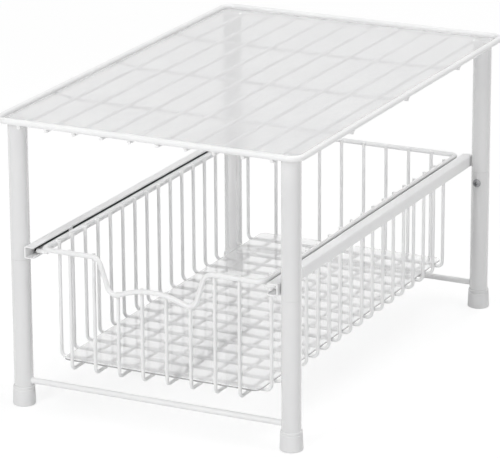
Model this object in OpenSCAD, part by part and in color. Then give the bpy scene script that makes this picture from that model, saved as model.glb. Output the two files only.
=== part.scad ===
// Under sink organizer: a wire shelf on four tube legs over a wire basket that slides on two rails.
// X runs across the width, Y from the front to the back and Z up. The origin is on the floor, at the
// middle of the footprint. All sizes are in millimetres.

/* [Shelf] */
// Width of the shelf over its rim wire
shelf_w = 271.6; // [260:0.2:300]
// Depth of the shelf over its rim wire
shelf_d = 418.2; // [410:0.2:440]
// Height of the top of the rim wire above the floor
shelf_h = 244.5; // [230:0.5:270]
// Thickness of the rim wire
rim_wire = 5; // [4:0.5:6]
// Outer corner radius of the rim
rim_corner_r = 12; // [8:1:20]
// Thickness of the shelf's thin wires
shelf_wire = 3; // [2.5:0.1:3.5]
// Number of wires from front to back
long_wire_count = 10; // [8:2:12]
// Distance between the outermost long wires
long_wire_span = 221.3; // [200:0.1:221.3]
// Distance between neighbouring cross wires
cross_wire_pitch = 107.5; // [80:0.5:120]
// Thickness of the loose plastic sheets
liner_t = 1.2; // [0.8:0.1:1.5]

/* [Legs] */
// Outer diameter of a leg
leg_d = 16; // [15:0.5:16]
// Wall of a leg tube
leg_wall = 1; // [0.8:0.1:1.2]
// Distance between the left and right leg axes
leg_span_x = 240.4; // [240.4:0.1:250]
// Distance between the front and rear leg axes
leg_span_y = 383.6; // [370:0.1:390]
// Height of the seam between the upper and lower leg tubes
leg_joint_z = 124.5; // [122:0.5:126]
// Length of the narrowed end inside the lower tube
spigot_h = 24; // [20:1:30]
// Height of the screws above the floor
screw_z = 115; // [112:0.5:117]
// Height of a foot cap
foot_h = 16.5; // [14:0.5:18]
// Diameter of a foot cap at the floor
foot_d = 19; // [18.5:0.5:22]
// Thickness of the two wires between the lower legs
base_wire = 5; // [4:0.5:6]
// Height of those wires above the floor
base_wire_z = 21; // [20:0.5:26]

/* [Rails] */
// Length of a rail
rail_len = 393; // [385:1:400]
// Height of the rail channel
rail_h = 10; // [10:0.2:11]
// Height of the underside of the rail
rail_z = 127.6; // [127.4:0.05:127.8]
// Sheet thickness of the rail
rail_t = 1; // [0.8:0.1:1]
// Width of the rail's top flange
rail_top_w = 8.7; // [8:0.1:9]
// Width of the rail's lower flange
rail_low_w = 9; // [9:0.1:9.5]
// Height of the turned-up lip of the lower flange
rail_lip_h = 2; // [1.8:0.05:2]
// Centre of the front stop tab along the rail
front_stop_y = -138.8; // [-145:0.1:-130]

/* [Basket] */
// Distance between the side wires' upright planes
basket_w = 189; // [180:0.5:189]
// Distance between the front and back upright planes
basket_d = 379; // [372:0.5:380]
// Height of the middle of the basket's rim wire
basket_rim_z = 135.7; // [135.5:0.05:136]
// Thickness of the basket's rim wire
basket_rim_wire = 4.2; // [4:0.1:4.4]
// Thickness of the basket's thin wires
basket_wire = 2.9; // [2.5:0.1:3]
// Height of the middle of the cross wires under the liner
basket_floor_z = 39; // [36:0.5:60]
// Number of U wires across the basket
side_wire_count = 17; // [15:2:17]
// Number of U wires along the basket
end_wire_count = 8; // [6:2:8]
// Pitch of both sets of wires
basket_pitch = 21.5; // [20:0.1:21.5]
// How far the closed basket stands forward of the middle
basket_rest_y = -2; // [-4:0.1:-1]
// Lowest point of the hand dip, at the middle of the rim wire
dip_z = 106.4; // [100:0.2:114]
// Slope of the sides of the hand dip, in degrees
dip_slope = 72; // [60:1:78]
// Slope where the dip rises to its middle hump, in degrees
hump_slope = 24; // [15:1:30]
// Radius of the hump
hump_r = 71; // [55:1:80]
// Radius of the two low bends of the dip
dip_r = 8; // [6:0.5:10]
// Radius of the two shoulder bends of the dip
shoulder_r = 9; // [7:0.5:12]
// Thickness of the runner wires
runner_wire = 3.6; // [3.2:0.1:3.6]

/* [Hidden] */

white = [0.95, 0.95, 0.95];
plastic = [0.88, 0.88, 0.88];
frosted = [0.86, 0.88, 0.9, 0.6];
chrome = [0.62, 0.63, 0.65];

wire_fn = 32;
tube_fn = 64;
weld_gap = 0.02;

rim_x = (shelf_w - rim_wire) / 2;
rim_y = (shelf_d - rim_wire) / 2;
rim_z = shelf_h - rim_wire / 2;
rim_bend_r = rim_corner_r - rim_wire / 2;
long_wire_z = shelf_h - rim_wire - shelf_wire / 2 - weld_gap;
long_wire_pitch = long_wire_span / (long_wire_count - 1);
long_wire_len = shelf_d - 4.2;
cross_wire_z = long_wire_z - shelf_wire - weld_gap;
cross_low_x = long_wire_span / 2 + 3.3;
cross_high_x = cross_low_x + 13;
cross_end_x = shelf_w / 2 - 2;
liner_gap = 0.5;
shelf_liner_z = long_wire_z + shelf_wire / 2 + weld_gap;

leg_x = leg_span_x / 2;
leg_y = leg_span_y / 2;
leg_top_z = shelf_liner_z - 2.1;
spigot_d = leg_d - 2 * leg_wall - 0.2;
foot_floor = 3;
plug_flange = 2;
plug_depth = 12;
screw_d = 4;
screw_head_d = 7;
screw_head_h = 2.4;
screw_hole_d = 4.3;
nut_w = 7;
nut_h = 3.2;
nut_out = 4.6;

rail_x = leg_x - leg_d / 2 - weld_gap;
rail_front_y = -leg_y - leg_d / 2 - 0.2;
rail_bend_r = 1.4;
tab_len = 6.5;
tab_drop = 5.4;
rear_tab_len = 4.4;
rear_stop_y = rail_front_y + rail_len - rear_tab_len / 2 - 0.5;
slot_w = 0.6;

basket_x = basket_w / 2;
basket_y = basket_d / 2;
rod_off = (basket_wire + basket_rim_wire) / 2 + weld_gap;
rod_x = basket_x + rod_off;
rod_y = basket_y + rod_off;
rod_bend_r = 6;
basket_bend_r = 5;
end_floor_z = basket_floor_z - basket_wire - weld_gap;
wire_over = 1.6;
wire_top_z = basket_rim_z + wire_over;
basket_liner_z = basket_floor_z + basket_wire / 2 + weld_gap;

basket_liner_back = 1.8;

runner_x = rail_x - 5;
runner_z = rail_z + rail_t + 0.3 + runner_wire / 2;
runner_end_y = 187.5;
runner_end_x = rod_x - 1.6;
runner_end_z = basket_rim_z - (basket_rim_wire + runner_wire) / 2 - weld_gap;
runner_bend_r = 4;
runner_pitch = 11;

// A round wire that starts at the origin along +X. Each step is [run, bend angle, bend radius], and
// a positive angle bends it towards +Y. The bends are right angles, so that the pieces meet exactly.
module bent_wire(d, steps, i = 0) {
    run = steps[i][0];
    bend = steps[i][1];
    radius = steps[i][2];
    rotate([0, 90, 0]) cylinder(d = d, h = run, $fn = wire_fn);
    if (bend != 0)
        translate([run, 0, 0]) rotate([bend < 0 ? 180 : 0, 0, 0]) {
            translate([0, radius, 0]) rotate([0, 0, -90])
                rotate_extrude(angle = 90, $fn = tube_fn)
                    translate([radius, 0]) circle(d = d, $fn = wire_fn);
            translate([radius, radius, 0]) rotate([0, 0, 90])
                rotate([bend < 0 ? 180 : 0, 0, 0]) bent_wire(d, steps, i + 1);
        }
}

// A round tube through a list of frames, either a closed loop or with flat ends
module swept_tube(frames, d, n, closed) {
    m = len(frames);
    points = [for (f = frames, k = [0 : n - 1]) let (
        h = f[1], p = f[2], a = 360 * k / n,
        side = [-sin(h), cos(h), 0], up = [-cos(h) * sin(p), -sin(h) * sin(p), cos(p)]
    ) f[0] + d / 2 * (cos(a) * side + sin(a) * up)];
    skin = [for (i = [0 : m - (closed ? 1 : 2)], k = [0 : n - 1], half = [0, 1]) let (
        a = i * n + k, b = i * n + (k + 1) % n, c = (i + 1) % m * n + (k + 1) % n, e = (i + 1) % m * n + k
    ) half == 0 ? [a, b, c] : [a, c, e]];
    ends = closed ? [] : [[for (k = [n - 1 : -1 : 0]) k], [for (k = [0 : n - 1]) (m - 1) * n + k]];
    polyhedron(points = points, faces = concat(skin, ends), convexity = 6);
}

// The same module at one leg, turned so that +Y points from the leg towards the middle of the depth
module at_leg(side, end) {
    translate([side * leg_x, end * leg_y, 0]) rotate([0, 0, end < 0 ? 0 : 180]) children();
}

// The rim's straight runs and corner bends are separate solids, butted with hairline gaps
module shelf_rim() {
    color(white) for (turn = [0 : 3]) rotate([0, 0, 90 * turn]) {
        long = turn % 2 == 0 ? rim_x : rim_y;
        out = turn % 2 == 0 ? rim_y : rim_x;
        translate([rim_bend_r - long + weld_gap, -out, rim_z]) rotate([0, 90, 0])
            cylinder(d = rim_wire, h = 2 * (long - rim_bend_r - weld_gap), $fn = wire_fn);
        translate([long - rim_bend_r, rim_bend_r - out, rim_z]) rotate([0, 0, -90])
            rotate_extrude(angle = 90, $fn = tube_fn) translate([rim_bend_r, 0])
                circle(d = rim_wire, $fn = wire_fn);
    }
}

module shelf_long_wires() {
    color(white) for (i = [0 : long_wire_count - 1])
        translate([(i - (long_wire_count - 1) / 2) * long_wire_pitch, 0, long_wire_z])
            rotate([90, 0, 0]) cylinder(d = shelf_wire, h = long_wire_len, center = true, $fn = wire_fn);
}

// Frames of one cross wire: it runs under the long wires and steps up at both ends to meet the rim
step_slope = atan((long_wire_z - cross_wire_z) / (cross_high_x - cross_low_x));
cross_wire_frames = [
    [[-cross_end_x, 0, long_wire_z], 0, 0], [[-cross_high_x, 0, long_wire_z], 0, -step_slope / 2],
    [[-cross_low_x, 0, cross_wire_z], 0, -step_slope / 2], [[cross_low_x, 0, cross_wire_z], 0, step_slope / 2],
    [[cross_high_x, 0, long_wire_z], 0, step_slope / 2], [[cross_end_x, 0, long_wire_z], 0, 0]
];

module shelf_cross_wires() {
    color(white) for (i = [-1 : 1]) translate([0, i * cross_wire_pitch, 0])
        swept_tube(cross_wire_frames, shelf_wire, 24, false);
}

// A flat sheet with rounded corners
module sheet(w, d, r) {
    linear_extrude(height = liner_t) {
        square([w - 2 * r, d], center = true);
        square([w, d - 2 * r], center = true);
        for (x = [-1, 1], y = [-1, 1])
            translate([x * (w / 2 - r), y * (d / 2 - r)]) circle(r = r, $fn = tube_fn);
    }
}

module shelf_liner() {
    color(frosted) translate([0, 0, shelf_liner_z])
        sheet(2 * (rim_x - rim_wire / 2 - liner_gap), 2 * (rim_y - rim_wire / 2 - liner_gap), 7);
}

// Upper tube: full size above the seam, narrowed below it to slip into the lower tube
module upper_leg() {
    r = leg_d / 2;
    s = spigot_d / 2;
    color(white) difference() {
        rotate_extrude($fn = tube_fn) polygon([
            [s - leg_wall, leg_joint_z - spigot_h], [s - 0.4, leg_joint_z - spigot_h],
            [s, leg_joint_z - spigot_h + 1], [s, leg_joint_z], [r, leg_joint_z], [r, leg_top_z],
            [r - leg_wall, leg_top_z], [r - leg_wall, leg_joint_z + 2], [s - leg_wall, leg_joint_z - 0.5]
        ]);
        translate([0, 0, screw_z]) rotate([-90, 0, 0]) cylinder(d = screw_hole_d, h = r + 1, $fn = wire_fn);
    }
}

module lower_leg() {
    r = leg_d / 2;
    color(white) difference() {
        translate([0, 0, foot_floor + 0.05])
            cylinder(r = r, h = leg_joint_z - foot_floor - 0.15, $fn = tube_fn);
        translate([0, 0, foot_floor - 1])
            cylinder(r = r - leg_wall, h = leg_joint_z, $fn = tube_fn);
        translate([0, 0, screw_z]) rotate([-90, 0, 0]) cylinder(d = screw_hole_d, h = r + 1, $fn = wire_fn);
    }
}

// Cap in the top of a leg, with a ribbed plug below its flange
module leg_plug() {
    r = leg_d / 2;
    plug_r = r - leg_wall - 0.05;
    z0 = leg_top_z - plug_depth;
    color(plastic) rotate_extrude($fn = tube_fn) polygon([
        [0, leg_top_z + plug_flange], [r - 0.6, leg_top_z + plug_flange],
        [r, leg_top_z + plug_flange - 0.6], [r, leg_top_z + 0.02], [plug_r, leg_top_z + 0.02],
        [plug_r, leg_top_z - 3], [plug_r - 0.5, leg_top_z - 3.5], [plug_r - 0.5, leg_top_z - 5.5],
        [plug_r, leg_top_z - 6], [plug_r, leg_top_z - 8], [plug_r - 0.5, leg_top_z - 8.5],
        [plug_r - 1, z0], [plug_r - 2.2, z0], [plug_r - 2.2, leg_top_z - 1], [0, leg_top_z - 1]
    ]);
}

// Tapered foot cap with a fine groove under its top edge
module foot() {
    r = foot_d / 2;
    top_r = leg_d / 2 + 0.8;
    bore_r = leg_d / 2 + 0.05;
    color(plastic) rotate_extrude($fn = tube_fn) polygon([
        [0, 0], [r - 1, 0], [r - 0.3, 0.3], [r, 1], [r - 0.1, 3],
        [top_r + 0.2, foot_h - 3.4], [top_r - 0.2, foot_h - 3], [top_r - 0.2, foot_h - 2.4],
        [top_r + 0.1, foot_h - 2], [top_r + 0.1, foot_h - 0.5], [top_r - 0.3, foot_h],
        [bore_r, foot_h], [bore_r, foot_floor], [0, foot_floor]
    ]);
}

// Pan-head screw with a cross recess, pointing from +Y into the leg
module leg_screw() {
    seat = leg_d / 2 + 0.02;
    recess_w = 0.9;
    recess_l = 4;
    translate([0, 0, screw_z]) rotate([-90, 0, 0]) difference() {
        rotate_extrude($fn = tube_fn) polygon([
            [0, 1.2], [screw_d / 2 - 0.5, 1.2], [screw_d / 2, 1.7], [screw_d / 2, seat],
            [screw_head_d / 2, seat], [screw_head_d / 2, seat + screw_head_h * 0.4],
            [screw_head_d / 2 - 0.5, seat + screw_head_h * 0.75],
            [screw_head_d / 2 - 1.5, seat + screw_head_h], [0, seat + screw_head_h]
        ]);
        for (a = [0, 90]) rotate([0, 0, a])
            translate([-recess_l / 2, -recess_w / 2, seat + screw_head_h - 1.3])
                cube([recess_l, recess_w, 2]);
    }
}

module weld_nut() {
    translate([0, nut_out, screw_z]) rotate([90, 0, 0]) difference() {
        translate([-nut_w / 2, -nut_w / 2, 0]) cube([nut_w, nut_w, nut_h]);
        translate([0, 0, -1]) cylinder(d = screw_d + 0.06, h = nut_h + 2, $fn = wire_fn);
    }
}

module leg_screws() {
    color(chrome) for (x = [-1, 1], y = [-1, 1]) at_leg(x, y) leg_screw();
}

module weld_nuts() {
    color(chrome) for (x = [-1, 1], y = [-1, 1]) at_leg(x, y) weld_nut();
}

// Wire between the left and right lower legs, with its ends shaped to the tubes
module base_wire_at(end) {
    color(white) difference() {
        translate([0, end * leg_y, base_wire_z]) rotate([0, 90, 0])
            cylinder(d = base_wire, h = leg_span_x - 8, center = true, $fn = wire_fn);
        for (s = [-1, 1]) translate([s * leg_x, end * leg_y, 0])
            cylinder(d = leg_d + 2 * weld_gap, h = base_wire_z + base_wire, $fn = tube_fn);
    }
}

function arc2(cx, cy, r, a0, a1, n = 5) =
    [for (k = [0 : n]) let (a = a0 + (a1 - a0) * k / n) [cx + r * cos(a), cy + r * sin(a)]];

// Section of a rail: X is the distance inward from the outer face of its web, Y the height
module rail_section() {
    b = rail_bend_r;
    i = b - rail_t;
    polygon(concat(
        [[rail_top_w, rail_h]], arc2(b, rail_h - b, b, 90, 180), arc2(b, b, b, 180, 270),
        arc2(rail_low_w - b, b, b, 270, 360), [[rail_low_w, rail_lip_h]],
        [[rail_low_w - rail_t, rail_lip_h]], arc2(rail_low_w - b, b, i, 360, 270),
        arc2(b, b, i, 270, 180), arc2(b, rail_h - b, i, 180, 90), [[rail_top_w, rail_h - rail_t]]
    ));
}

// A rail in place on the left side. Two tabs, cut from the top flange and turned down, stop the basket.
module rail() {
    edge_x = -rail_x + rail_top_w;
    stops = [[front_stop_y, tab_len], [rear_stop_y, rear_tab_len]];
    difference() {
        translate([-rail_x, rail_front_y + rail_len, rail_z]) rotate([90, 0, 0])
            linear_extrude(height = rail_len) rail_section();
        for (stop = stops, e = [-1, 1])
            translate([edge_x - 2.4, stop[0] + e * (stop[1] + slot_w) / 2 - slot_w / 2, rail_z + rail_h - 2])
                cube([3, slot_w, 3]);
    }
    for (stop = stops)
        translate([edge_x - rail_t, stop[0] - stop[1] / 2, rail_z + rail_h - tab_drop])
            cube([rail_t, stop[1], tab_drop - 0.3]);
}

module rail_left() {
    color(white) rail();
}

module rail_right() {
    color(white) mirror([1, 0, 0]) rail();
}

// Half of the hand dip in the rim wire, from its left shoulder to the middle: [x, z, pitch]
low_x = (dip_r + hump_r) * sin(hump_slope);
hump_z = dip_z + (dip_r + hump_r) * (1 - cos(hump_slope));
slope_low_z = dip_z + dip_r * (1 - cos(dip_slope));
slope_high_z = basket_rim_z - shoulder_r * (1 - cos(dip_slope));
slope_run = (slope_high_z - slope_low_z) / tan(dip_slope);
shoulder_x = low_x + (dip_r + shoulder_r) * sin(dip_slope) + slope_run;

function steps_to(a0, a1, n) = [for (k = [0 : n]) a0 + (a1 - a0) * k / n];

dip_half = concat(
    [for (t = steps_to(0, dip_slope, 8))
        [-shoulder_x + shoulder_r * sin(t), basket_rim_z - shoulder_r * (1 - cos(t)), -t]],
    [for (t = steps_to(-dip_slope, hump_slope, 11))
        [-low_x + dip_r * sin(t), dip_z + dip_r * (1 - cos(t)), t]],
    [for (t = steps_to(hump_slope * 0.8, 0, 4))
        [-hump_r * sin(t), hump_z - hump_r * (1 - cos(t)), t]]
);

// Height of the middle of the front rim wire at x, where an upright meets it
function front_rim_z(x) = let (u = abs(x))
    u >= shoulder_x ? basket_rim_z :
    u > shoulder_x - shoulder_r * sin(dip_slope) ?
        basket_rim_z - shoulder_r + sqrt(pow(shoulder_r, 2) - pow(shoulder_x - u, 2)) :
    u >= low_x + dip_r * sin(dip_slope) ?
        slope_high_z - (shoulder_x - shoulder_r * sin(dip_slope) - u) * tan(dip_slope) :
    u > hump_r * sin(hump_slope) ? dip_z + dip_r - sqrt(pow(dip_r, 2) - pow(u - low_x, 2)) :
    hump_z - hump_r + sqrt(pow(hump_r, 2) - pow(u, 2));

// Frames along the closed rim wire: [position, heading, pitch], counter-clockwise from above
function corner_frames(sx, sy, a0) = [for (a = steps_to(a0, a0 + 90, 6))
    [[sx * (rod_x - rod_bend_r) + rod_bend_r * cos(a), sy * (rod_y - rod_bend_r) + rod_bend_r * sin(a),
        basket_rim_z], a + 90, 0]];

half_count = len(dip_half);
rim_frames = concat(
    [for (f = dip_half) [[f[0], -rod_y, f[1]], 0, f[2]]],
    [for (k = [half_count - 2 : -1 : 0]) let (f = dip_half[k]) [[-f[0], -rod_y, f[1]], 0, -f[2]]],
    corner_frames(1, -1, -90), corner_frames(1, 1, 0), corner_frames(-1, 1, 90),
    corner_frames(-1, -1, 180)
);

module basket_rim() {
    color(white) translate([0, basket_rest_y, 0]) swept_tube(rim_frames, basket_rim_wire, 16, true);
}

// U wire in the XZ plane: up one side, across the bottom and up the other, from the top of its left leg
module u_wire(half, floor_z, top_l, top_r) {
    run = 2 * (half - basket_bend_r);
    translate([-half, 0, top_l]) rotate([0, 90, 0]) rotate([90, 0, 0])
        bent_wire(basket_wire, [
            [top_l - floor_z - basket_bend_r, 90, basket_bend_r], [run, 90, basket_bend_r],
            [top_r - floor_z - basket_bend_r, 0, 0]
        ]);
}

module basket_side_wires() {
    color(white) for (i = [0 : side_wire_count - 1])
        translate([0, basket_rest_y + (i - (side_wire_count - 1) / 2) * basket_pitch, 0])
            u_wire(basket_x, basket_floor_z, wire_top_z, wire_top_z);
}

module basket_end_wires() {
    color(white) for (i = [0 : end_wire_count - 1]) {
        x = (i - (end_wire_count - 1) / 2) * basket_pitch;
        translate([x, basket_rest_y, 0]) rotate([0, 0, 90])
            u_wire(basket_y, end_floor_z, front_rim_z(x) + wire_over, wire_top_z);
    }
}

module basket_liner() {
    inset = basket_wire / 2 + liner_gap;
    color(frosted) translate([0, basket_rest_y + basket_liner_back, basket_liner_z])
        sheet(2 * (basket_x - basket_bend_r - 1.5), 2 * (basket_y - inset - 2.8), 6);
}

// Frames of the left runner wire: it lies in the rail, and its ends rise over the lip to the rim wire
function runner_corner(end, a0, a1) = [for (a = steps_to(a0, a1, 7))
    let (part = (a - a0) / (a1 - a0), low = end < 0 ? part : 1 - part)
    [[-runner_x + runner_bend_r * (1 + cos(a)), end * (runner_end_y - runner_bend_r) + runner_bend_r * sin(a),
        runner_end_z + (runner_z - runner_end_z) * low * low * (3 - 2 * low)],
        a - 90, end * runner_pitch * 4 * part * (1 - part)]];

runner_frames = concat(
    [[[-runner_end_x, -runner_end_y, runner_end_z], 180, 0]], runner_corner(-1, 270, 180),
    runner_corner(1, 180, 90), [[[-runner_end_x, runner_end_y, runner_end_z], 0, 0]]
);

module runner() {
    translate([0, basket_rest_y, 0]) swept_tube(runner_frames, runner_wire, 16, false);
}

module runner_left() {
    color(white) runner();
}

module runner_right() {
    color(white) mirror([1, 0, 0]) runner();
}

shelf_rim();
shelf_long_wires();
shelf_cross_wires();
shelf_liner();
at_leg(-1, -1) upper_leg();  // upper_leg_fl
at_leg(1, -1) upper_leg();  // upper_leg_fr
at_leg(-1, 1) upper_leg();  // upper_leg_rl
at_leg(1, 1) upper_leg();  // upper_leg_rr
at_leg(-1, -1) leg_plug();  // leg_plug_fl
at_leg(1, -1) leg_plug();  // leg_plug_fr
at_leg(-1, 1) leg_plug();  // leg_plug_rl
at_leg(1, 1) leg_plug();  // leg_plug_rr
at_leg(-1, -1) lower_leg();  // lower_leg_fl
at_leg(1, -1) lower_leg();  // lower_leg_fr
at_leg(-1, 1) lower_leg();  // lower_leg_rl
at_leg(1, 1) lower_leg();  // lower_leg_rr
at_leg(-1, -1) foot();  // foot_fl
at_leg(1, -1) foot();  // foot_fr
at_leg(-1, 1) foot();  // foot_rl
at_leg(1, 1) foot();  // foot_rr
leg_screws();
weld_nuts();
base_wire_at(-1);  // base_wire_front
base_wire_at(1);  // base_wire_rear
rail_left();
rail_right();
basket_rim();
basket_side_wires();
basket_end_wires();
basket_liner();
runner_left();
runner_right();
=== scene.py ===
from math import radians

import bmesh
import bpy
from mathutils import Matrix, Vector


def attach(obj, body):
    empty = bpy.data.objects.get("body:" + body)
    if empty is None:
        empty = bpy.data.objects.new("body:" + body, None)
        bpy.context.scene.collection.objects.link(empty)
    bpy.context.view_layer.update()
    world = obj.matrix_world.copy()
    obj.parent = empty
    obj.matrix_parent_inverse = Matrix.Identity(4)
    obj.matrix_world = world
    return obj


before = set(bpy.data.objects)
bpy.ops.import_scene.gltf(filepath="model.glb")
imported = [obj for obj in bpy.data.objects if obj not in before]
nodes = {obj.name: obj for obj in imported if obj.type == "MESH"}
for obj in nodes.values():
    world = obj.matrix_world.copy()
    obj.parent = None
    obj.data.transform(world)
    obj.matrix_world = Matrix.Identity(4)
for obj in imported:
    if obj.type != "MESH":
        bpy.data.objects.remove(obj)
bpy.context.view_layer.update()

# camera: the photo's place, with an ordinary lens
cameraPlace = {
    "location": (1.1801, -2.42178, 0.96712),
    "turn": (72.347, 0.257, 26.076),  # degrees
    "lens": 242.95, "sensor": 36.0,  # millimetres
    "near": 0.05, "far": 50.0,
}


def placeCamera(place):
    data = bpy.data.cameras.new("photoCamera")
    camera = bpy.data.objects.new("photoCamera", data)
    bpy.context.scene.collection.objects.link(camera)
    camera.location = place["location"]
    camera.rotation_euler = [radians(angle) for angle in place["turn"]]
    data.sensor_fit = "HORIZONTAL"
    data.sensor_width = place["sensor"]
    data.lens = place["lens"]
    data.clip_start = place["near"]
    data.clip_end = place["far"]
    bpy.context.scene.camera = camera


placeCamera(cameraPlace)
bpy.context.scene.view_settings.view_transform = "Standard"
print("camera placed")


# node helpers
def feed(tree, node, inputs):
    # an output of another node is linked, a number or colour is set on the socket itself
    for label, source in inputs.items():
        if isinstance(source, bpy.types.NodeSocket):
            tree.links.new(source, node.inputs[label])
        else:
            node.inputs[label].default_value = source


def addNode(tree, kind, x, y, inputs=None, **settings):
    node = tree.nodes.new(kind)
    node.location = (x, y)
    for key, value in settings.items():
        setattr(node, key, value)
    feed(tree, node, inputs or {})
    return node


def findNode(tree, kind):
    return next(node for node in tree.nodes if node.type == kind)


def newSkinGroup(name, inputs):
    # a group that gives a surface its colour, its roughness and the height of its bumps
    group = bpy.data.node_groups.new(name, "ShaderNodeTree")
    number, color = "NodeSocketFloat", "NodeSocketColor"
    for label, value in inputs.items():
        kind = number if isinstance(value, float) else color
        socket = group.interface.new_socket(name=label, in_out="INPUT", socket_type=kind)
        socket.default_value = value
    for label, kind in (("Color", color), ("Roughness", number), ("Height", number)):
        group.interface.new_socket(name=label, in_out="OUTPUT", socket_type=kind)
    start = addNode(group, "NodeGroupInput", -900, 0)
    end = addNode(group, "NodeGroupOutput", 700, 0)
    return group, start.outputs, end


def newMaterial(name):
    material = bpy.data.materials.new(name)
    material.use_nodes = True
    tree = material.node_tree
    tree.nodes.clear()
    output = addNode(tree, "ShaderNodeOutputMaterial", 700, 0)
    shader = addNode(tree, "ShaderNodeBsdfPrincipled", 300, 0)
    tree.links.new(shader.outputs["BSDF"], output.inputs["Surface"])
    return material, tree, shader


def addSkin(tree, shader, group, inputs, look):
    skin = addNode(tree, "ShaderNodeGroup", -300, 0, inputs, node_tree=group)
    bump = addNode(tree, "ShaderNodeBump", 0, -250, {
        "Strength": look["bump"], "Distance": look["depth"], "Height": skin.outputs["Height"],
    })
    feed(tree, shader, {
        "Base Color": skin.outputs["Color"], "Roughness": skin.outputs["Roughness"],
        "Normal": bump.outputs["Normal"],
    })


# powder coat on wire, tube and rails, and the moulded plugs and feet
grainLook = {
    "cloudDetail": 3.0, "cloudLow": 0.35, "cloudHigh": 0.7,
    "peelDetail": 2.0,
    "fleckScale": 420.0, "fleckDetail": 4.0, "fleckLow": 0.68, "fleckHigh": 0.78, "fleckShare": 0.5,
}


def makeCoatGrain(look):
    # sprayed powder: cloudy tone, orange-peel skin and a few darker specks
    group, given, end = newSkinGroup("coatGrain", {
        "Tint": (0.8, 0.8, 0.8, 1.0), "Shade": (0.7, 0.7, 0.7, 1.0),
        "Cloud Scale": 30.0, "Peel Scale": 1400.0, "Roughness": 0.4, "Roughness Spread": 0.08,
    })
    place = addNode(group, "ShaderNodeTexCoord", -900, -300).outputs["Object"]
    cloud = addNode(group, "ShaderNodeTexNoise", -600, 200, {
        "Vector": place, "Scale": given["Cloud Scale"], "Detail": look["cloudDetail"],
    })
    peel = addNode(group, "ShaderNodeTexNoise", -600, -100, {
        "Vector": place, "Scale": given["Peel Scale"], "Detail": look["peelDetail"],
    })
    fleck = addNode(group, "ShaderNodeTexNoise", -600, -400, {
        "Vector": place, "Scale": look["fleckScale"], "Detail": look["fleckDetail"],
    })
    cloudMask = addNode(group, "ShaderNodeMapRange", -400, 250, {
        "Value": cloud.outputs["Fac"], "From Min": look["cloudLow"], "From Max": look["cloudHigh"],
    })
    fleckMask = addNode(group, "ShaderNodeMapRange", -400, -400, {
        "Value": fleck.outputs["Fac"], "From Min": look["fleckLow"], "From Max": look["fleckHigh"],
        "To Max": look["fleckShare"],
    })
    cloudy = addNode(group, "ShaderNodeMix", -200, 200, {
        "Factor": cloudMask.outputs["Result"], "A": given["Tint"], "B": given["Shade"],
    }, data_type="RGBA")
    flecked = addNode(group, "ShaderNodeMix", 100, 150, {
        "Factor": fleckMask.outputs["Result"], "A": cloudy.outputs["Result"], "B": given["Shade"],
    }, data_type="RGBA")
    rough = addNode(group, "ShaderNodeMath", 100, -100, {
        0: peel.outputs["Fac"], 1: given["Roughness Spread"], 2: given["Roughness"],
    }, operation="MULTIPLY_ADD")
    feed(group, end, {
        "Color": flecked.outputs["Result"], "Roughness": rough.outputs["Value"],
        "Height": peel.outputs["Fac"],
    })
    return group


coatGrain = makeCoatGrain(grainLook)


def coatMaterial(name, look):
    material, tree, shader = newMaterial(name)
    addSkin(tree, shader, coatGrain, {
        "Tint": (*look["tint"], 1.0), "Shade": (*look["shade"], 1.0),
        "Cloud Scale": look["cloud"], "Peel Scale": look["peel"],
        "Roughness": look["roughness"], "Roughness Spread": look["spread"],
    }, look)
    feed(tree, shader, {
        "Specular IOR Level": look["specular"], "Coat Weight": look["coat"],
        "Coat Roughness": look["coatRoughness"],
    })
    return material


wireCoat = coatMaterial("wireCoat", {
    "tint": (0.91, 0.91, 0.91), "shade": (0.87, 0.87, 0.875), "cloud": 22.0, "peel": 1500.0,
    "roughness": 0.34, "spread": 0.1, "bump": 0.25, "depth": 0.0001,
    "specular": 0.5, "coat": 0.15, "coatRoughness": 0.25,
})
tubeCoat = coatMaterial("tubeCoat", {
    "tint": (0.8, 0.8, 0.8), "shade": (0.76, 0.76, 0.765), "cloud": 12.0, "peel": 900.0,
    "roughness": 0.16, "spread": 0.05, "bump": 0.03, "depth": 0.0001,
    "specular": 0.6, "coat": 1.0, "coatRoughness": 0.03,
})
railCoat = coatMaterial("railCoat", {
    "tint": (0.94, 0.94, 0.94), "shade": (0.9, 0.9, 0.905), "cloud": 14.0, "peel": 1100.0,
    "roughness": 0.38, "spread": 0.1, "bump": 0.3, "depth": 0.0001,
    "specular": 0.5, "coat": 0.1, "coatRoughness": 0.3,
})
footPlastic = coatMaterial("footPlastic", {
    "tint": (0.85, 0.85, 0.85), "shade": (0.81, 0.81, 0.815), "cloud": 40.0, "peel": 2200.0,
    "roughness": 0.5, "spread": 0.12, "bump": 0.25, "depth": 0.0001,
    "specular": 0.4, "coat": 0.0, "coatRoughness": 0.3,
})

# painted shade inside each rail channel; each limit: axis, whether it holds on both sides of the middle,
# where the painted shade starts and is full
railShadeLimits = {
    "shadeColor": (0.07, 0.07, 0.072),
    "limits": [
        ("X", True, 0.1115, 0.1113), ("X", True, 0.1034, 0.1042),
        ("Z", False, 0.1289, 0.1293), ("Z", False, 0.1371, 0.1368),
        ("Y", True, 0.1868, 0.1845),
    ],
}


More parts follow.
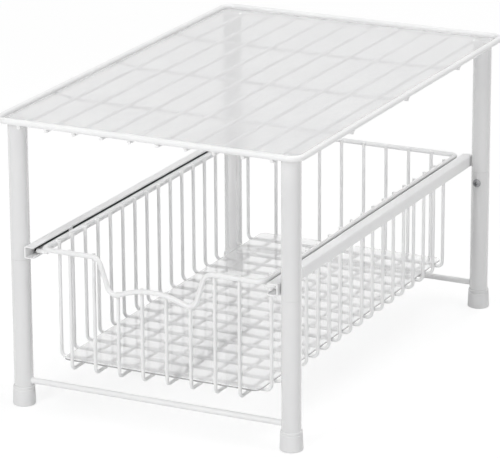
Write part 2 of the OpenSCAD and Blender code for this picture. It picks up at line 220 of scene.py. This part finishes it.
def paintRailShade(material, track):
    # painted shade on the inside of a rail's channel, faded out near its open ends
    tree = material.node_tree
    shader = findNode(tree, "BSDF_PRINCIPLED")
    place = addNode(tree, "ShaderNodeTexCoord", -900, 700).outputs["Object"]
    split = addNode(tree, "ShaderNodeSeparateXYZ", -700, 700, {"Vector": place})
    mask = 1.0
    for row, (axis, bothSides, start, full) in enumerate(track["limits"]):
        y = 900 - 160 * row
        value = split.outputs[axis]
        if bothSides:
            away = addNode(tree, "ShaderNodeMath", -500, y, {0: value}, operation="ABSOLUTE")
            value = away.outputs["Value"]
        step = addNode(tree, "ShaderNodeMapRange", -300, y, {
            "Value": value, "From Min": start, "From Max": full,
        })
        both = addNode(tree, "ShaderNodeMath", -100, y, {
            0: mask, 1: step.outputs["Result"],
        }, operation="MULTIPLY")
        mask = both.outputs["Value"]
    # the coat's colour is mixed towards the painted shade colour inside the channel
    unshaded = shader.inputs["Base Color"].links[0].from_socket
    dark = addNode(tree, "ShaderNodeMix", 100, 600, {
        "Factor": mask, "A": unshaded, "B": (*track["shadeColor"], 1.0),
    }, data_type="RGBA")
    feed(tree, shader, {"Base Color": dark.outputs["Result"]})


# painted shade darkens the inside of each rail channel
paintRailShade(railCoat, railShadeLimits)


# the two frosted sheets
def makeSheetFrost(hazeDetail):
    # cast sheet: hazy tone and gloss, and a fine pebbled skin
    group, given, end = newSkinGroup("sheetFrost", {
        "Tint": (0.82, 0.82, 0.82, 1.0), "Shade": (0.79, 0.79, 0.795, 1.0),
        "Haze Scale": 25.0, "Pebble Scale": 900.0, "Least Roughness": 0.07, "Most Roughness": 0.12,
    })
    place = addNode(group, "ShaderNodeTexCoord", -900, 300).outputs["Object"]
    pebble = addNode(group, "ShaderNodeTexVoronoi", -600, -200, {
        "Vector": place, "Scale": given["Pebble Scale"],
    }, feature="SMOOTH_F1")
    haze = addNode(group, "ShaderNodeTexNoise", -600, 200, {
        "Vector": place, "Scale": given["Haze Scale"], "Detail": hazeDetail,
    })
    tone = addNode(group, "ShaderNodeMix", -200, 200, {
        "Factor": haze.outputs["Fac"], "A": given["Tint"], "B": given["Shade"],
    }, data_type="RGBA")
    rough = addNode(group, "ShaderNodeMapRange", -200, -50, {
        "Value": haze.outputs["Fac"],
        "To Min": given["Least Roughness"], "To Max": given["Most Roughness"],
    })
    feed(group, end, {
        "Color": tone.outputs["Result"], "Roughness": rough.outputs["Result"],
        "Height": pebble.outputs["Distance"],
    })
    return group


sheetFrost = makeSheetFrost(hazeDetail=4.0)


def sheetMaterial(name, look):
    # it blurs what lies under it, and the share "light" of the lamps' light falls through it
    material, tree, shader = newMaterial(name)
    addSkin(tree, shader, sheetFrost, {
        "Tint": (*look["tint"], 1.0), "Shade": (*look["shade"], 1.0),
        "Haze Scale": look["haze"], "Pebble Scale": look["pebble"],
        "Least Roughness": look["roughness"], "Most Roughness": look["roughness"] + look["spread"],
    }, look)
    feed(tree, shader, {
        "Transmission Weight": look["clear"], "IOR": look["ior"], "Specular IOR Level": look["specular"],
    })
    path = addNode(tree, "ShaderNodeLightPath", 0, 500)
    share = addNode(tree, "ShaderNodeMath", 200, 500, {
        0: path.outputs["Is Shadow Ray"], 1: look["light"],
    }, operation="MULTIPLY")
    through = addNode(tree, "ShaderNodeBsdfTransparent", 300, 300)
    pick = addNode(tree, "ShaderNodeMixShader", 550, 100, {
        "Fac": share.outputs["Value"], 1: shader.outputs["BSDF"], 2: through.outputs["BSDF"],
    })
    feed(tree, findNode(tree, "OUTPUT_MATERIAL"), {"Surface": pick.outputs["Shader"]})
    return material


shelfSheet = sheetMaterial("shelfSheet", {
    "tint": (0.82, 0.82, 0.82), "shade": (0.79, 0.79, 0.795), "pebble": 900.0, "haze": 25.0,
    "roughness": 0.07, "spread": 0.05, "bump": 0.05, "depth": 0.00002,
    "clear": 0.77, "light": 0.5, "specular": 0.15, "ior": 1.46,
})
basketSheet = sheetMaterial("basketSheet", {
    "tint": (0.985, 0.985, 0.985), "shade": (0.96, 0.96, 0.965), "pebble": 900.0, "haze": 25.0,
    "roughness": 0.025, "spread": 0.05, "bump": 0.02, "depth": 0.00002,
    "clear": 0.82, "light": 0.24, "specular": 0.06, "ior": 1.46,
})


# plated screws and nuts
def platingMaterial(name, look):
    material, tree, shader = newMaterial(name)
    place = addNode(tree, "ShaderNodeTexCoord", -900, 0).outputs["Object"]
    stain = addNode(tree, "ShaderNodeTexNoise", -600, 100, {
        "Vector": place, "Scale": look["stain"], "Detail": look["stainDetail"],
    })
    tone = addNode(tree, "ShaderNodeMix", -200, 200, {
        "Factor": stain.outputs["Fac"], "A": (*look["tint"], 1.0), "B": (*look["shade"], 1.0),
    }, data_type="RGBA")
    rough = addNode(tree, "ShaderNodeMapRange", -200, -50, {
        "Value": stain.outputs["Fac"],
        "To Min": look["roughness"], "To Max": look["roughness"] + look["spread"],
    })
    feed(tree, shader, {
        "Base Color": tone.outputs["Result"], "Roughness": rough.outputs["Result"], "Metallic": 1.0,
    })
    return material


screwPlating = platingMaterial("screwPlating", {
    "tint": (0.36, 0.36, 0.37), "shade": (0.24, 0.24, 0.25), "stain": 900.0, "stainDetail": 5.0,
    "roughness": 0.25, "spread": 0.2,
})

# finish by the start of a node's name; every other node is coated wire
finishes = {
    "upper_leg": tubeCoat, "lower_leg": tubeCoat, "leg_plug": footPlastic, "foot": footPlastic,
    "rail": railCoat, "shelf_liner": shelfSheet, "basket_liner": basketSheet,
    "leg_screws": screwPlating, "weld_nuts": screwPlating,
}


def finishFor(name):
    return next((finish for start, finish in finishes.items() if name.startswith(start)), wireCoat)


for name, node in nodes.items():
    for slot in node.material_slots:
        slot.material = finishFor(name)
    if not node.material_slots:
        node.data.materials.append(finishFor(name))
print("materials on", len(nodes), "nodes")


# resistance welds: small squeezed nuggets where wires meet, their sizes given as half widths
def addNugget(shape, place, size):
    made = bmesh.ops.create_icosphere(shape, subdivisions=2, radius=1.0)
    bmesh.ops.scale(shape, vec=size, verts=made["verts"])
    bmesh.ops.translate(shape, vec=place, verts=made["verts"])


def makeNuggets(name, spots, body):
    mesh = bpy.data.meshes.new(name)
    shape = bmesh.new()
    for place, size in spots:
        addNugget(shape, place, size)
    for face in shape.faces:
        face.smooth = True
    shape.to_mesh(mesh)
    shape.free()
    mesh.materials.append(wireCoat)
    piece = bpy.data.objects.new(name, mesh)
    bpy.context.scene.collection.objects.link(piece)
    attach(piece, body)


def evenly(count, pitch):
    return [(i - (count - 1) / 2) * pitch for i in range(count)]


shelfWelds = {
    "longCount": 10, "longSpan": 0.2213, "crossCount": 3, "crossPitch": 0.1075,
    "crossHeight": 0.23647, "rimHeight": 0.23949, "rimDepth": 0.2066, "rimWidth": 0.1333,
    "crossSize": (0.0017, 0.0017, 0.0009), "rimSize": (0.0019, 0.0016, 0.0010),
}


def shelfSpots(weld):
    spots = []
    crossWires = evenly(weld["crossCount"], weld["crossPitch"])
    for x in evenly(weld["longCount"], weld["longSpan"] / (weld["longCount"] - 1)):
        for y in crossWires:
            spots.append(((x, y, weld["crossHeight"]), weld["crossSize"]))
        for side in (-1, 1):
            spots.append(((x, side * weld["rimDepth"], weld["rimHeight"]), weld["rimSize"]))
    for y in crossWires:
        for side in (-1, 1):
            spots.append(((side * weld["rimWidth"], y, weld["rimHeight"]), weld["rimSize"]))
    return spots


basketWelds = {
    "pitch": 0.0215, "sideCount": 17, "endCount": 8, "forward": -0.002,
    "floorHeight": 0.03754, "floorSize": (0.0017, 0.0017, 0.0009),
    "rimHeight": 0.1357,
    "sideWidth": 0.09595, "sideSize": (0.0009, 0.0016, 0.0019),
    "endDepth": 0.19095, "endSize": (0.0016, 0.0009, 0.0019),
}


def basketSpots(weld):
    # the front rim wire dips, so its uprights are left without nuggets
    spots = []
    forward = weld["forward"]
    for y in evenly(weld["sideCount"], weld["pitch"]):
        for x in evenly(weld["endCount"], weld["pitch"]):
            spots.append(((x, y + forward, weld["floorHeight"]), weld["floorSize"]))
        for side in (-1, 1):
            place = (side * weld["sideWidth"], y + forward, weld["rimHeight"])
            spots.append((place, weld["sideSize"]))
    for x in evenly(weld["endCount"], weld["pitch"]):
        spots.append(((x, weld["endDepth"] + forward, weld["rimHeight"]), weld["endSize"]))
    return spots


frameWelds = {
    "legDepth": 0.1918, "touchWidth": 0.1122,
    "railHeight": 0.1326, "railBead": (0.0010, 0.0013, 0.0042), "beadStep": 0.0030,
    "topHeight": 0.2388, "topBead": (0.0010, 0.0042, 0.0010),
    "baseWidth": 0.1120, "baseHeight": 0.021, "baseBead": (0.0012, 0.0029, 0.0029),
}


def frameSpots(weld):
    # on each leg: two beads at the rail, one at the outer long wire and one at the base wire
    spots = []
    for side in (-1, 1):
        x = side * weld["touchWidth"]
        for end in (-1, 1):
            y = end * weld["legDepth"]
            for step in (-1, 1):
                place = (x, y + step * weld["beadStep"] / 2, weld["railHeight"])
                spots.append((place, weld["railBead"]))
            spots.append(((x, y, weld["topHeight"]), weld["topBead"]))
            spots.append(((side * weld["baseWidth"], y, weld["baseHeight"]), weld["baseBead"]))
    return spots


makeNuggets("shelfWeldNuggets", shelfSpots(shelfWelds), "frame")
makeNuggets("basketWeldNuggets", basketSpots(basketWelds), "basket")
makeNuggets("frameWeldBeads", frameSpots(frameWelds), "frame")
print("welds added")


# floor and backdrop
def seenRays(tree):
    # 1 for rays from the camera, in gloss and through the sheets
    path = addNode(tree, "ShaderNodeLightPath", -500, 300)
    gloss = addNode(tree, "ShaderNodeMath", -200, 300, {
        0: path.outputs["Is Camera Ray"], 1: path.outputs["Is Glossy Ray"],
    }, operation="MAXIMUM")
    glass = addNode(tree, "ShaderNodeMath", 0, 200, {
        0: gloss.outputs["Value"], 1: path.outputs["Is Transmission Ray"],
    }, operation="MAXIMUM")
    return glass.outputs["Value"]


def showSeen(tree, output, plain, seen):
    pick = addNode(tree, "ShaderNodeMixShader", 500, 0, {"Fac": seenRays(tree), 1: plain, 2: seen})
    feed(tree, output, {"Surface": pick.outputs["Shader"]})


floorLook = {
    "size": 12.0, "height": -0.0002, "tint": (0.8, 0.8, 0.8), "roughness": 0.9, "specular": 0.1,
    "shadow": (0.3, 0.3, 0.3), "glow": 0.77, "fadeStart": 0.7, "fadeEnd": 1.6,
}


def floorMaterial(look):
    # seen as white with the object's faint shadow, and as plain white farther out
    material, tree, shader = newMaterial("paleFloor")
    feed(tree, shader, {
        "Base Color": (*look["tint"], 1.0), "Roughness": look["roughness"],
        "Specular IOR Level": look["specular"],
    })
    veil = addNode(tree, "ShaderNodeBsdfDiffuse", 0, 500, {"Color": (*look["shadow"], 1.0)})
    glow = addNode(tree, "ShaderNodeEmission", 0, 350, {"Strength": look["glow"]})
    near = addNode(tree, "ShaderNodeAddShader", 200, 450, {
        0: veil.outputs["BSDF"], 1: glow.outputs["Emission"],
    })
    far = addNode(tree, "ShaderNodeEmission", 200, 300)
    place = addNode(tree, "ShaderNodeTexCoord", -600, 700).outputs["Object"]
    reach = addNode(tree, "ShaderNodeVectorMath", -400, 700, {0: place}, operation="LENGTH")
    fade = addNode(tree, "ShaderNodeMapRange", -200, 700, {
        "Value": reach.outputs["Value"], "From Min": look["fadeStart"], "From Max": look["fadeEnd"],
    })
    seen = addNode(tree, "ShaderNodeMixShader", 400, 400, {
        "Fac": fade.outputs["Result"], 1: near.outputs["Shader"], 2: far.outputs["Emission"],
    })
    output = findNode(tree, "OUTPUT_MATERIAL")
    showSeen(tree, output, shader.outputs["BSDF"], seen.outputs["Shader"])
    return material


def makeFloor(look):
    mesh = bpy.data.meshes.new("floor")
    shape = bmesh.new()
    bmesh.ops.create_grid(shape, x_segments=1, y_segments=1, size=look["size"])
    bmesh.ops.translate(shape, vec=(0, 0, look["height"]), verts=shape.verts)
    shape.to_mesh(mesh)
    shape.free()
    mesh.materials.append(floorMaterial(look))
    floor = bpy.data.objects.new("floor", mesh)
    bpy.context.scene.collection.objects.link(floor)


def makeSky(ambient):
    # white where it is seen, and a dim even light on the object
    world = bpy.data.worlds.new("studio")
    bpy.context.scene.world = world
    world.use_nodes = True
    tree = world.node_tree
    tree.nodes.clear()
    white = (1.0, 1.0, 1.0, 1.0)
    output = addNode(tree, "ShaderNodeOutputWorld", 700, 0)
    dim = addNode(tree, "ShaderNodeBackground", 0, -100, {"Color": white, "Strength": ambient})
    seen = addNode(tree, "ShaderNodeBackground", 0, 100, {"Color": white})
    showSeen(tree, output, dim.outputs["Background"], seen.outputs["Background"])


makeFloor(floorLook)
makeSky(ambient=0.24)
print("floor and backdrop placed")

# lamps: soft rectangles, all turned to one point in the organizer
lampAim = (0, 0, 0.12)
lamps = {
    "key": {"place": (-0.4, -2.25, 1.0), "width": 0.6, "height": 1.6, "power": 26.0},
    "top": {"place": (0.2, 0.2, 2.6), "width": 1.6, "height": 1.6, "power": 26.0},
    "side": {"place": (2.5, -0.5, 1.1), "width": 1.0, "height": 1.0, "power": 13.0},
    "back": {"place": (0.3, 1.8, 2.6), "width": 1.0, "height": 1.0, "power": 12.0},
}


def makeLamp(name, lamp):
    data = bpy.data.lights.new(name, "AREA")
    data.shape = "RECTANGLE"
    data.size = lamp["width"]
    data.size_y = lamp["height"]
    data.energy = lamp["power"]
    light = bpy.data.objects.new(name, data)
    bpy.context.scene.collection.objects.link(light)
    light.location = lamp["place"]
    aim = Vector(lampAim) - Vector(lamp["place"])
    light.rotation_euler = aim.to_track_quat("-Z", "Y").to_euler()


for name, lamp in lamps.items():
    makeLamp(name, lamp)
print("lamps placed")
